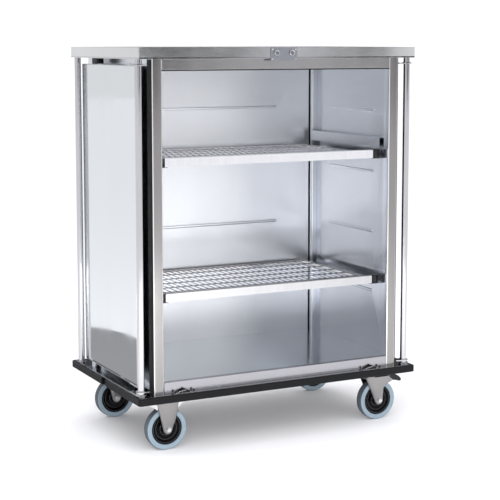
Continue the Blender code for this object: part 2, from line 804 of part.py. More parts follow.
def fork_outline():
    """A fork leg seen from the side. It has a wing beside the brake pedal."""
    top = CROWN_LOW + PLATE_THICKNESS
    pivot_x, pivot_z = BRAKE_PIVOT
    outline = [(BRIDGE_FRONT, top), *arc(TRAIL, WHEEL_RADIUS, LEG_TIP, 200, 345, 6)]
    outline += [(pivot_x + x, pivot_z + z) for x, z in FORK_WING]
    outline += [(pivot_x + FORK_SHOULDER, top)]
    return outline


def pedal_outline():
    """The brake pedal seen from the side, drawn round its pivot."""
    return [(0, BRAKE_EYE), *arc(0, 0, BRAKE_EYE, 100, 260, 5), *PEDAL_PAD, *PEDAL_TREAD]


# ---------------------------------------------------------------- assembly

for leftover in list(bpy.data.objects):
    bpy.data.objects.remove(leftover, do_unlink=True)

build_base()
build_frame()
build_walls()
build_roof()
build_push_bars()
build_door("left", 1, -270)
build_door("right", -1, 270)
build_door_fittings()
build_locks()
build_shelf("upper", UPPER_SHELF)
build_shelf("lower", LOWER_SHELF)
build_runners()
for end_name, end_side in (("front", -1), ("rear", 1)):
    build_fixed_caster(f"{end_name}_left", end_side * CASTER_Y)
    build_swivel_caster(f"{end_name}_right", end_side * CASTER_Y)
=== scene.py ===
"""The looks of the cabinet trolley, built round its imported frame.

Metres, +Z up. X runs along the trolley, and the doors are on the -Y side. Doors are parked open.
"""

import json
import math

import bmesh
import bpy
import numpy as np
from mathutils import Matrix, Vector

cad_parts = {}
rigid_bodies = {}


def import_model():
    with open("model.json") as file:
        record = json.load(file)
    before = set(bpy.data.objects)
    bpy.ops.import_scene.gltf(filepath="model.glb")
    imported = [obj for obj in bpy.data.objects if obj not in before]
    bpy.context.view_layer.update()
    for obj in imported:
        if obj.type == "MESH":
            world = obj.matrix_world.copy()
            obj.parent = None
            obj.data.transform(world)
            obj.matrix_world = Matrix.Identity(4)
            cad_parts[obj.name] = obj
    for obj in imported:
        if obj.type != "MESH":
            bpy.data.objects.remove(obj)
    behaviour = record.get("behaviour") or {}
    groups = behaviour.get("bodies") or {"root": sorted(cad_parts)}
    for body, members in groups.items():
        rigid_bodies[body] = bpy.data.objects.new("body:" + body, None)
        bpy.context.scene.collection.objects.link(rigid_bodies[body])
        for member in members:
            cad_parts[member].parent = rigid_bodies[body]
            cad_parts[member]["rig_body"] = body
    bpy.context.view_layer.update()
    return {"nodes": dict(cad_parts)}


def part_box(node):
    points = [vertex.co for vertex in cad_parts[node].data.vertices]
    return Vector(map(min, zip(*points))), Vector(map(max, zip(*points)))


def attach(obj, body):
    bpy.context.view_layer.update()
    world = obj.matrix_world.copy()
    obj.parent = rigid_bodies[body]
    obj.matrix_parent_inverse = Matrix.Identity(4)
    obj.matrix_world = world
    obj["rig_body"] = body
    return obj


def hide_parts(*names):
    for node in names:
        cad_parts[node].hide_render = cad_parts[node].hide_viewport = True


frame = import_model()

ENDS = (("front", -1), ("rear", 1))
HANDS = (("left", -1), ("right", 1))

# ------------------------------------------------------------ materials


class Look:
    """One procedural material: a Principled shader and the textures that drive it."""

    def __init__(self, name, colour, roughness, metallic=0.0, **sockets):
        self.material = bpy.data.materials.new(name)
        self.material.use_nodes = True
        self.tree = self.material.node_tree
        self.shader = self.tree.nodes["Principled BSDF"]
        self.set("Base Color", (*colour, 1))
        self.set("Roughness", roughness)
        self.set("Metallic", metallic)
        for socket, value in sockets.items():
            self.set(socket.replace("_", " "), value)

    def set(self, socket, value):
        self.shader.inputs[socket].default_value = value

    def node(self, kind, **values):
        node = self.tree.nodes.new(kind)
        for key, value in values.items():
            setattr(node, key, value)
        return node

    def link(self, source, target):
        self.tree.links.new(source, target)

    def stretched(self, stretch, texture):
        """Drives a texture by the object's own space, drawn out along an axis of low scale."""
        coordinates = self.node("ShaderNodeTexCoord")
        mapping = self.node("ShaderNodeMapping")
        mapping.inputs["Scale"].default_value = stretch
        self.link(coordinates.outputs["Object"], mapping.inputs["Vector"])
        self.link(mapping.outputs["Vector"], texture.inputs["Vector"])

    def noise(self, scale, stretch=(1, 1, 1), detail=3.0, roughness=0.55):
        """Soft noise from 0 to 1."""
        noise = self.node("ShaderNodeTexNoise")
        noise.inputs["Scale"].default_value = scale
        noise.inputs["Detail"].default_value = detail
        noise.inputs["Roughness"].default_value = roughness
        self.stretched(stretch, noise)
        return noise.outputs["Fac"]

    def cells(self, scale):
        """Distance to the nearest cell centre, for moulded grain."""
        cells = self.node("ShaderNodeTexVoronoi")
        cells.inputs["Scale"].default_value = scale
        self.stretched((1, 1, 1), cells)
        return cells.outputs["Distance"]

    def spread(self, source, low, high, start=0.3, end=0.7):
        """Maps a texture's range onto the values from low to high."""
        node = self.node("ShaderNodeMapRange")
        node.inputs["From Min"].default_value = start
        node.inputs["From Max"].default_value = end
        node.inputs["To Min"].default_value = low
        node.inputs["To Max"].default_value = high
        self.link(source, node.inputs["Value"])
        return node.outputs["Result"]

    def math(self, operation, first, second):
        node = self.node("ShaderNodeMath", operation=operation)
        for socket, value in zip(node.inputs, (first, second)):
            if isinstance(value, (int, float)):
                socket.default_value = value
            else:
                self.link(value, socket)
        return node.outputs["Value"]

    def tint(self, factor, other):
        """Mixes the base colour with another one by a factor. Later calls mix on top."""
        mix = self.node("ShaderNodeMix", data_type="RGBA")
        colours = [socket for socket in mix.inputs if socket.type == "RGBA"]
        current = self.shader.inputs["Base Color"]
        if current.is_linked:
            self.link(current.links[0].from_socket, colours[0])
        else:
            colours[0].default_value = current.default_value
        colours[1].default_value = (*other, 1)
        self.link(factor, mix.inputs["Factor"])
        self.link([s for s in mix.outputs if s.type == "RGBA"][0], current)

    def roughness(self, factor):
        self.link(factor, self.shader.inputs["Roughness"])

    def bump(self, height, distance, strength=1.0):
        """Adds relief, given as the height in metres between a texture's 0 and 1."""
        node = self.node("ShaderNodeBump")
        node.inputs["Distance"].default_value = distance
        node.inputs["Strength"].default_value = strength
        self.link(height, node.inputs["Height"])
        normal = self.shader.inputs["Normal"]
        if normal.is_linked:
            self.link(normal.links[0].from_socket, node.inputs["Normal"])
        self.link(node.outputs["Normal"], normal)

    def upward(self):
        """How far the surface faces up, from 0 to 1."""
        geometry = self.node("ShaderNodeNewGeometry")
        split = self.node("ShaderNodeSeparateXYZ")
        self.link(geometry.outputs["Normal"], split.inputs["Vector"])
        return self.math("MAXIMUM", split.outputs["Z"], 0.0)


def shade(colour, factor):
    return tuple(min(1.0, channel * factor) for channel in colour)


ALONG_GRAIN = 0.012
GRAIN = {"X": (ALONG_GRAIN, 1, 1), "Z": (1, 1, ALONG_GRAIN)}


def brushed(name, colour, roughness, grain="X", relief=0.00002, wave=0.0):
    """Stainless sheet with a brushed grain along one axis, handling smudges and a slight waviness."""
    look = Look(name, colour, roughness, metallic=1.0)
    fine = look.noise(1400, GRAIN[grain], detail=3)
    streak = look.noise(260, GRAIN[grain], detail=2)
    smudge = look.noise(4.5, detail=4)
    look.tint(look.spread(streak, 0.0, 0.45), shade(colour, 0.92))
    look.tint(look.spread(smudge, 0.0, 0.30, 0.45, 0.75), shade(colour, 1.08))
    base = look.spread(fine, roughness - 0.03, roughness + 0.04)
    look.roughness(look.math("ADD", base, look.spread(smudge, -0.02, 0.04)))
    look.bump(fine, relief)
    if wave:
        look.bump(look.noise(2.2, detail=0), wave)
    return look.material


def bright(name, colour, roughness, wave=0.0010):
    """Cold-rolled sheet, close to a mirror, with soft waves, wipe marks and a faint rolling grain."""
    look = Look(name, colour, roughness, metallic=1.0)
    wipe = look.noise(7, (1, 1, 0.3), detail=5)
    rolled = look.noise(900, (1, 1, 0.01), detail=2)
    look.tint(look.spread(wipe, 0.0, 0.4, 0.4, 0.7), shade(colour, 0.95))
    base = look.spread(wipe, roughness - 0.02, roughness + 0.05)
    look.roughness(look.math("ADD", base, look.spread(rolled, -0.01, 0.02)))
    look.bump(look.noise(2.2, detail=0), wave)
    return look.material


def polished(name, colour=(0.78, 0.78, 0.80), roughness=0.09, rub=0.5):
    """Polished tube and wire, with faint rub marks."""
    look = Look(name, colour, roughness, metallic=1.0)
    marks = look.noise(60, (1, 1, 0.15), detail=5)
    look.tint(look.spread(marks, 0.0, rub), shade(colour, 0.90))
    look.roughness(look.spread(marks, roughness - 0.03, roughness + 0.16 * rub))
    look.bump(look.noise(500, detail=2), 0.000015)
    return look.material


def rubber(name, colour, roughness, grain=900, dust=0.10):
    """Moulded rubber with a fine grain, scuffs and a little dust on top."""
    look = Look(name, colour, roughness, Specular_IOR_Level=0.20)
    scuff = look.noise(45, (1, 1, 0.4), detail=6, roughness=0.7)
    look.tint(look.spread(scuff, 0.0, 0.5, 0.5, 0.8), shade(colour, 2.2))
    settled = look.math("MULTIPLY", look.upward(), look.spread(look.noise(30, detail=4), 0.2, 1.0))
    look.tint(look.math("MULTIPLY", settled, dust), (0.35, 0.34, 0.32))
    look.roughness(look.spread(scuff, roughness - 0.08, roughness + 0.12))
    look.bump(look.cells(grain), 0.00006)
    look.bump(look.noise(70, detail=3), 0.00006)
    return look.material


def moulded(name, colour=(0.006, 0.006, 0.007), roughness=0.30, specular=0.35):
    """Glass-filled plastic with a spark-eroded surface."""
    look = Look(name, colour, roughness, Specular_IOR_Level=specular)
    cloud = look.noise(25, detail=4)
    look.tint(look.spread(cloud, 0.0, 0.5), shade(colour, 1.9))
    look.roughness(look.spread(cloud, roughness - 0.06, roughness + 0.12))
    look.bump(look.cells(1300), 0.00003)
    return look.material


def tyre_rubber(name, colour, worn, roughness=0.5):
    """Blue-grey non-marking rubber with dirt rubbed into it."""
    look = Look(name, colour, roughness, Specular_IOR_Level=0.3)
    dirt = look.noise(38, detail=7, roughness=0.65)
    look.tint(look.spread(dirt, 0.0, 0.65, 0.45, 0.75), worn)
    look.tint(look.spread(look.noise(9, detail=3), 0.0, 0.3, 0.5, 0.8), shade(colour, 1.25))
    look.roughness(look.spread(dirt, roughness - 0.06, roughness + 0.12))
    look.bump(look.cells(700), 0.00008)
    look.bump(dirt, 0.0001)
    return look.material


def painted(name, colour, roughness):
    """Thin black paint over steel, with an orange-peel surface and a few dull patches."""
    look = Look(name, colour, roughness, Specular_IOR_Level=0.20)
    patch = look.noise(14, detail=5)
    look.tint(look.spread(patch, 0.0, 0.5, 0.5, 0.8), shade(colour, 1.8))
    look.roughness(look.spread(patch, roughness - 0.08, roughness + 0.12))
    look.bump(look.noise(420, detail=2), 0.00004)
    return look.material


LOOKS = {
    "roof": brushed("roof_sheet", (0.68, 0.685, 0.69), 0.16, "X", wave=0.0002),
    # The post look is a darker copy of the tube steel: a painted shade for the front faces of the front
    # posts.
    "post": brushed("post_tube", (0.32, 0.31, 0.30), 0.20, "Z"),
    "inner_post": brushed("inner_post_tube", (0.66, 0.69, 0.74), 0.16, "Z"),
    # The edge look is a lighter, polished copy of the tube steel: a painted highlight on the posts'
    # rounded corners.
    "edge": polished("tube_edge_painted_highlight", (0.86, 0.85, 0.84), 0.16),
    "rail": brushed("rail_sheet", (0.50, 0.495, 0.49), 0.16, "X", wave=0.0002),
    "sill": brushed("sill_sheet", (0.38, 0.375, 0.395), 0.22, "X", wave=0.0006),
    "wall": bright("wall_sheet", (0.63, 0.65, 0.69), 0.20, wave=0.0006),
    # The back wall's sheet is a lighter copy of the side walls' steel: painted light.
    "back": bright("back_sheet_painted_light", (0.88, 0.90, 0.92), 0.31, wave=0.0006),
    "floor": brushed("floor_sheet", (0.72, 0.75, 0.79), 0.12, "X", relief=0.000008, wave=0.0002),
    "base_top": bright("base_sheet", (0.66, 0.68, 0.71), 0.10, wave=0.0004),
    "door": bright("door_sheet", (0.69, 0.715, 0.725), 0.035, wave=0.00025),
    "base": painted("base_paint", (0.007, 0.007, 0.008), 0.42),
    "chrome": polished("polished_tube", (0.56, 0.56, 0.57)),
    # The two shelf rails are one polished tube: a lighter copy with painted light for the upper shelf and
    # a darker copy with painted shade for the lower one.
    "upper_rail": polished("upper_shelf_rail_painted_light", (0.84, 0.84, 0.86), 0.16, rub=0.25),
    "lower_rail": polished("lower_shelf_rail_painted_shade", (0.52, 0.52, 0.525), 0.16, rub=0.25),
    "wire": polished("polished_wire", (0.40, 0.40, 0.42), 0.14),
    "plate": brushed("lock_plate_sheet", (0.40, 0.42, 0.455), 0.20, "X"),
    "caster": brushed("pressed_plate", (0.30, 0.29, 0.285), 0.20, "Z", relief=0.000008),
    "screw": polished("screw_steel", (0.66, 0.66, 0.67), 0.22),
    "rubber": rubber("bumper_rubber", (0.003, 0.003, 0.004), 0.42, dust=0.001),
    "seal": rubber("seal_rubber", (0.004, 0.004, 0.004), 0.55, dust=0.0),
    "plastic": moulded("black_plastic"),
    "rim": moulded("rim_plastic", (0.0010, 0.0010, 0.0014), 0.08, 0.08),
    "rim_edge": moulded("rim_edge_plastic", (0.02, 0.02, 0.022), 0.14, 1.0),
    "tyre": tyre_rubber("tyre_side", (0.19, 0.245, 0.29), (0.16, 0.20, 0.23)),
    # The tread look is a darker copy of the tyre rubber: a painted shade on the faces turned away from
    # the light.
    "tread": tyre_rubber("tyre_tread_painted_shade", (0.080, 0.095, 0.110), (0.05, 0.06, 0.07)),
    "core": polished("lock_core", (0.35, 0.35, 0.37), 0.25),
}

# ------------------------------------------------------------ mesh tools

UP = Vector((0, 0, 1))
MERGE_DISTANCE = 1e-5
FLAT_ANGLE = 0.5
ON_AXIS = 1e-6


def piece(name, bm, look, body, stands_for=(), angle=32):
    """Turns a bmesh into a finished piece that rides on a body."""
    bmesh.ops.recalc_face_normals(bm, faces=bm.faces)
    mesh = bpy.data.meshes.new(name)
    bm.to_mesh(mesh)
    bm.free()
    mesh.materials.append(LOOKS[look])
    mesh.shade_smooth()
    mesh.set_sharp_from_angle(angle=math.radians(angle))
    obj = bpy.data.objects.new(name, mesh)
    bpy.context.collection.objects.link(obj)
    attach(obj, body)
    if stands_for:
        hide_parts(*stands_for)
    return obj


def body_of(node):
    return frame["nodes"][node]["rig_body"]


def round_edges(obj, width, segments, angle):
    bevel = obj.modifiers.new("edges", "BEVEL")
    bevel.width = width
    bevel.segments = segments
    bevel.limit_method = "ANGLE"
    bevel.angle_limit = math.radians(angle)
    bevel.use_clamp_overlap = True
    bevel.harden_normals = True


def softened(node, look, width, segments, angle=30):
    """A copy of a CAD node with its hard edges rounded, which stands for that node."""
    bm = bmesh.new()
    bm.from_mesh(frame["nodes"][node].data)
    bmesh.ops.remove_doubles(bm, verts=bm.verts, dist=MERGE_DISTANCE)
    bmesh.ops.dissolve_limit(bm, angle_limit=math.radians(FLAT_ANGLE), verts=bm.verts, edges=bm.edges)
    obj = piece(f"{node}_shell", bm, look, body_of(node), [node])
    obj.data.shade_smooth()  # clears the sharp edges, because the bevel shades them
    round_edges(obj, width, segments, angle)
    return obj


def second_look(obj, look, chosen):
    """Gives the faces picked by a test a look of their own."""
    obj.data.materials.append(LOOKS[look])
    slot = len(obj.data.materials) - 1
    for face in obj.data.polygons:
        if chosen(face):
            face.material_index = slot


def lathe(profile, steps=48, axis="Z"):
    """A bmesh of (radius, height) points turned round an axis. Heights run towards -Y on axis Y.

    Points on the axis close the ends. A profile that starts off the axis is closed into a ring.
    """
    bm = bmesh.new()
    rings = []
    for radius, height in profile:
        if radius < ON_AXIS:
            rings.append([bm.verts.new((0, 0, height))])
            continue
        angles = [2 * math.pi * i / steps for i in range(steps)]
        rings.append([bm.verts.new((radius * math.cos(a), radius * math.sin(a), height)) for a in angles])
    closed = profile[0][0] > ON_AXIS
    pairs = list(zip(rings, rings[1:] + rings[:1])) if closed else list(zip(rings, rings[1:]))
    for low, high in pairs:
        for i in range(steps):
            j = (i + 1) % steps
            corners = [low[i % len(low)], low[j % len(low)], high[j % len(high)], high[i % len(high)]]
            unique = list(dict.fromkeys(corners))
            if len(unique) > 2:
                bm.faces.new(unique)
    if axis in ("Y", "-Y"):
        bmesh.ops.transform(bm, matrix=Matrix.Rotation(math.radians(90), 4, "X"), verts=bm.verts)
    if axis == "-Y":
        bmesh.ops.transform(bm, matrix=Matrix.Rotation(math.radians(180), 4, "Z"), verts=bm.verts)
    return bm


def shift(bm, x=0.0, y=0.0, z=0.0):
    bmesh.ops.translate(bm, vec=(x, y, z), verts=bm.verts)
    return bm


def absorb(bm, other):
    """Moves all of another bmesh into this one."""
    mesh = bpy.data.meshes.new("part")
    other.to_mesh(mesh)
    other.free()
    bm.from_mesh(mesh)
    bpy.data.meshes.remove(mesh)
    return bm


def add_aimed(bm, other, place, direction):
    """Moves a bmesh built along +Z to a place, turned to point along a direction."""
    turn = UP.rotation_difference(Vector(direction)).to_matrix().to_4x4()
    bmesh.ops.transform(other, matrix=Matrix.Translation(Vector(place)) @ turn, verts=other.verts)
    absorb(bm, other)


def add_rod(bm, start, end, radius, sides=10):
    """A straight round wire between two points, with slightly domed ends."""
    start, end = Vector(start), Vector(end)
    length = (end - start).length
    cap = radius * 0.35
    profile = [(0, 0), (radius * 0.8, 0), (radius, cap)]
    profile += [(radius, length - cap), (radius * 0.8, length), (0, length)]
    add_aimed(bm, lathe(profile, sides), start, end - start)


def rounded_outline(x0, x1, y0, y1, radius, steps=6):
    """The corners of a rectangle whose corners are rounded, anticlockwise."""
    points = []
    centres = ((x1 - radius, y1 - radius, 0), (x0 + radius, y1 - radius, 90))
    centres += ((x0 + radius, y0 + radius, 180), (x1 - radius, y0 + radius, 270))
    for cx, cy, start in centres:
        for angle in np.radians(np.linspace(start, start + 90, steps + 1)):
            points.append((cx + radius * math.cos(angle), cy + radius * math.sin(angle)))
    return points


def add_slab(bm, outline, low, high, plane="XY"):
    """A flat outline given thickness across its plane."""
    turns = {
        "XY": lambda u, v, w: (u, v, w),
        "XZ": lambda u, v, w: (u, w, v),
        "YZ": lambda u, v, w: (w, u, v),
    }
    turn = turns[plane]
    bottom = [bm.verts.new(turn(u, v, low)) for u, v in outline]
    top = [bm.verts.new(turn(u, v, high)) for u, v in outline]
    for i in range(len(outline)):
        j = (i + 1) % len(outline)
        bm.faces.new((bottom[i], bottom[j], top[j], top[i]))
    bm.faces.new(bottom[::-1])
    bm.faces.new(top)


SCREW_SUNK = 0.0002


def add_screw(bm, centre, direction, radius):
    """A pan-head screw with a socket, sunk a hair into the surface, its head along direction."""
    height = radius * 0.62
    socket = radius * 0.45
    profile = [(0, height * 0.30), (socket, height * 0.35), (socket, height)]
    profile += [(radius * 0.72, height * 0.94), (radius * 0.93, height * 0.66), (radius, height * 0.28)]
    profile += [(radius, -SCREW_SUNK), (0, -SCREW_SUNK)]
    add_aimed(bm, lathe(profile, 20), centre, direction)


def add_hex(bm, centre, direction, across, height):
    """A hexagon head with a chamfered top."""
    radius = across / math.sqrt(3)
    head = bmesh.new()
    corners = [(radius * math.cos(a), radius * math.sin(a)) for a in np.radians(range(0, 360, 60))]
    lower = [head.verts.new((x, y, 0)) for x, y in corners]
    upper = [head.verts.new((v.co.x, v.co.y, height * 0.8)) for v in lower]
    rim = [head.verts.new((v.co.x * 0.86, v.co.y * 0.86, height)) for v in lower]
    for i in range(6):
        j = (i + 1) % 6
        head.faces.new((lower[i], lower[j], upper[j], upper[i]))
        head.faces.new((upper[i], upper[j], rim[j], rim[i]))
    head.faces.new(lower[::-1])
    head.faces.new(rim)
    add_aimed(bm, head, centre, direction)


def add_ring(bm, outer, inner, low, high):
    """A closed band between two outlines with the same number of points."""
    layers = []
    for outline, z in ((outer, low), (outer, high), (inner, high), (inner, low)):
        layers.append([bm.verts.new((x, y, z)) for x, y in outline])
    for first, second in zip(layers, layers[1:] + layers[:1]):
        for i in range(len(first)):
            j = (i + 1) % len(first)
            bm.faces.new((first[i], first[j], second[j], second[i]))


# ------------------------------------------------------------ cabinet

POST_CORNER = 0.0050
BAR_RADIUS = 0.0125
BAR_BORE = 0.011
BAR_FOOT = 0.0152
RETURN_OUT = 0.0009
RETURN_Z = (0.0006, 0.0060)
# Sizes of the black strips that paint the shadow beside the parked leaves and under the header rail.
SIDE_SHADOW_STRIP = (0.0001, 0.0028)
HEADER_SHADOW_DEPTH = 0.0100
HEADER_SHADOW_DROP = 0.0042
SHADOW_STRIP_CORNER = 0.0012
BEAD_HALF = 0.0018


def build_cabinet():
    softened("roof_canopy", "roof", 0.0030, 4)
    softened("roof_soffit", "wall", 0.0004, 2)
    softened("sill_rail", "sill", 0.0014, 4)
    softened("header_rail", "rail", 0.0014, 4)
    for hand, _ in HANDS:
        softened(f"{hand}_side_wall", "wall", 0.0016, 3, 12)
    # the back wall gets the lighter copy of the wall steel: painted light
    softened("back_wall", "back", 0.0016, 3, 12)
    softened("cabinet_floor", "floor", 0.0004, 2)
    base = softened("base_platform", "base", 0.0010, 3)
    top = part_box("base_platform")[1].z
    second_look(base, "base_top", lambda face: face.normal.z > 0.9 and face.center.z > top - 0.001)
    for end, _ in ENDS:
        softened(f"{end}_bumper", "rubber", 0.0030, 4)
        for hand, _ in HANDS:
            build_post(f"{end}_{hand}_post")
            build_push_bar(f"{end}_{hand}_push_bar")
    build_roof_trim()
    build_shadow_strips_and_beads()


def build_post(node):
    """A square tube. Its rounded corners carry a painted highlight, and the front face of a front post
    carries a painted shade, darker than its faces towards the inside.
    """
    low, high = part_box(node)
    bm = bmesh.new()
    outer = rounded_outline(low.x, high.x, low.y, high.y, POST_CORNER, 8)
    add_slab(bm, outer, low.z, high.z)
    front = "front" in node
    post = piece(f"{node}_tube", bm, "post" if front else "inner_post", "cabinet", [node])
    if front:
        # painted shade: the front face keeps the darker copy of the steel, and the other faces get the
        # lighter one
        second_look(post, "inner_post", lambda face: face.normal.y > -0.1)
    # painted highlight on the rounded corners
    second_look(post, "edge", lambda face: min(abs(face.normal.x), abs(face.normal.y)) > 0.2)


def build_push_bar(node):
    """A polished tube with a foot, a ring above it, and on the front bars a ring at each door arm."""
    low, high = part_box(node)
    centre = (low + high) / 2
    lower_door, upper_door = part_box("left_door_outer_skin")
    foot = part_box("front_bumper")[1].z
    profile = [(BAR_BORE, low.z), (BAR_FOOT, low.z), (BAR_FOOT, foot + 0.0030)]
    profile.append((BAR_RADIUS, foot + 0.0032))
    rings = ((foot + 0.0035, 0.0026, 0.0208),)
    if "front" in node:
        rings += ((lower_door.z + 0.0003, 0.0025, 0.0168), (upper_door.z + 0.0047, 0.0028, 0.0168))
    for start, thick, wide in rings:
        ease = thick * 0.3
        profile += [(BAR_RADIUS, start), (wide - ease, start), (wide, start + ease)]
        profile += [(wide, start + thick - ease), (wide - ease, start + thick)]
        profile.append((BAR_RADIUS, start + thick))
    profile += [(BAR_RADIUS, high.z), (BAR_BORE, high.z)]
    bm = shift(lathe(profile, 48), centre.x, centre.y)
    piece(f"{node}_tube", bm, "chrome", "cabinet", [node], 40)


def build_roof_trim():
    """The folded return along the roof's lower edge."""
    low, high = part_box("roof_canopy")
    bm = bmesh.new()
    out = RETURN_OUT
    outer = rounded_outline(low.x - out, high.x + out, low.y - out, high.y + out, 0.006)
    inner = rounded_outline(low.x + out, high.x - out, low.y + out, high.y - out, 0.005)
    bottom, top = RETURN_Z
    add_ring(bm, outer, inner, low.z + bottom, low.z + top)
    piece("roof_return", bm, "chrome", "cabinet")


def build_shadow_strips_and_beads():
    """Black rubber strips that paint the shadow beside the parked leaves and under the header rail, and
    beads in the corner joints.
    """
    # A black strip beside each front post paints the shadow that the parked leaf casts into the gap
    # there.
    for hand, side in HANDS:
        low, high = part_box(f"front_{hand}_post")
        face = high.x if side > 0 else low.x
        bm = bmesh.new()
        x0, x1 = sorted(face + side * out for out in SIDE_SHADOW_STRIP)
        outline = rounded_outline(x0, x1, low.y + 0.0025, high.y - 0.001, SHADOW_STRIP_CORNER, 4)
        add_slab(bm, outline, low.z + 0.001, high.z - 0.001)
        piece(f"{hand}_side_painted_shadow", bm, "seal", "cabinet")
    # A black strip under the header rail paints the shadow that the rail casts.
    low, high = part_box("header_rail")
    bm = bmesh.new()
    front, back = low.y + 0.0002, low.y + HEADER_SHADOW_DEPTH
    outline = rounded_outline(front, back, low.z - HEADER_SHADOW_DROP, low.z - 0.0001, SHADOW_STRIP_CORNER, 4)
    add_slab(bm, outline, low.x, high.x, "YZ")
    piece("header_painted_shadow", bm, "seal", "cabinet")
    low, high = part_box("back_wall")
    floor_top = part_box("cabinet_floor")[1].z
    bm = bmesh.new()
    for side in (-1, 1):
        x = side * (high.x - BEAD_HALF)
        x0, x1 = x - BEAD_HALF, x + BEAD_HALF
        outline = rounded_outline(x0, x1, low.y - 0.0003, high.y - 0.0021, 0.0006, 3)
        add_slab(bm, outline, floor_top + 0.0003, high.z - 0.001)
    piece("corner_beads", bm, "seal", "cabinet")


# ------------------------------------------------------------ doors

ARM_SCREW_INSET = 0.012
ARM_SCREW_BACK = (0.018, 0.052)
ARM_SCREW_RADIUS = 0.0042
BUSH_RADII = (0.0129, 0.0165)
BUSH_THICK = 0.0004


def build_doors():
    for hand, side in HANDS:
        body = f"{hand}_door"
        softened(f"{hand}_door_outer_skin", "door", 0.0009, 3)
        softened(f"{hand}_door_inner_skin", "door", 0.0012, 3)
        for level in ("upper", "lower"):
            build_arm(f"{hand}_door_{level}_arm", body, side, 1 if level == "upper" else -1)
        softened(f"{hand}_door_keeper", "rubber", 0.0020, 3)


def build_arm(node, body, side, facing):
    """The flat arm, with two screws into the leaf and a black bush round the bar."""
    softened(node, "chrome", 0.0007, 3)
    low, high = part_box(node)
    bar_low, bar_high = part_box(f"front_{'left' if side < 0 else 'right'}_push_bar")
    bar = (bar_low + bar_high) / 2
    face = high.z if facing > 0 else low.z
    bm = bmesh.new()
    x = low.x + ARM_SCREW_INSET if side > 0 else high.x - ARM_SCREW_INSET
    for back in ARM_SCREW_BACK:
        add_screw(bm, (x, high.y - back, face), (0, 0, facing), ARM_SCREW_RADIUS)
    piece(f"{node}_screws", bm, "screw", body)
    inner, outer = BUSH_RADII
    bottom, top = sorted((face, face + facing * BUSH_THICK))
    profile = [(inner, bottom), (outer, bottom), (outer, top), (inner, top)]
    piece(f"{node}_bush", shift(lathe(profile, 40), bar.x, bar.y), "plastic", body)


# ------------------------------------------------------------ locks and catches

LOCK_SCREW_INSET = 0.007
LOCK_SCREW_RADIUS = 0.0030
CORE_SHARE = 0.72
KEYWAY_HALF = (0.0009, 0.0042)
CATCH_FOOT = 0.0022
CATCH_SCREW_OUT = 0.0245
CATCH_SCREW_RADIUS = 0.0032
CATCH_ROD_FORWARD = 0.0066
CATCH_ROD_X = (-0.027, 0.004)
CATCH_ROD_RISE = (0.0035, 0.0095)
CATCH_ROD_RADIUS = 0.0013
ROLLER_RADIUS = 0.0074
WING_HALF = 0.0045
BALL_RADIUS = 0.0045
BALL_OUT = 0.0370


def build_locks():
    softened("lock_plate", "plate", 0.0008, 3)
    plate_low, plate_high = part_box("lock_plate")
    bm = bmesh.new()
    inset = LOCK_SCREW_INSET
    for x in (plate_low.x + inset, plate_high.x - inset):
        for z in (plate_low.z + inset, plate_high.z - inset):
            add_screw(bm, (x, plate_low.y, z), (0, -1, 0), LOCK_SCREW_RADIUS)
    piece("lock_plate_screws", bm, "screw", "cabinet")
    for hand, _ in HANDS:
        build_barrel(f"{hand}_lock_barrel", f"{hand}_lock")


def build_barrel(node, body):
    """A key barrel: a polished rim and a recessed core, whose key slot is a black plate of painted shade.
    """
    low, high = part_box(node)
    centre = (low + high) / 2
    depth = high.y - low.y
    rim = [(0.0074, 0.0), (0.0108, 0.0), (0.0108, depth * 0.80), (0.0101, depth * 0.95)]
    rim += [(0.0092, depth), (0.0082, depth * 0.96), (0.0074, depth * 0.82)]
    bm = shift(lathe(rim, 40, "Y"), centre.x, high.y, centre.z)
    piece(f"{node}_rim", bm, "chrome", body, [node], 40)
    core_depth = depth * CORE_SHARE
    core = [(0, core_depth), (0.0058, core_depth), (0.0064, depth * 0.66), (0.0071, depth * 0.60)]
    core += [(0.0071, 0.0005), (0, 0.0005)]
    bm = shift(lathe(core, 32, "Y"), centre.x, high.y, centre.z)
    piece(f"{node}_core", bm, "core", body)
    # The key slot is not cut: a thin black plate in the core's face paints the shade of its hollow.
    face = high.y - core_depth
    bm = bmesh.new()
    x, z = centre.x, centre.z
    wide, tall = KEYWAY_HALF
    outline = rounded_outline(x - wide, x + wide, z - tall, z + tall, 0.0006, 3)
    add_slab(bm, outline, face - 0.0002, face + 0.0012, "XZ")
    piece(f"{node}_keyway_painted_shade", bm, "plastic", body)


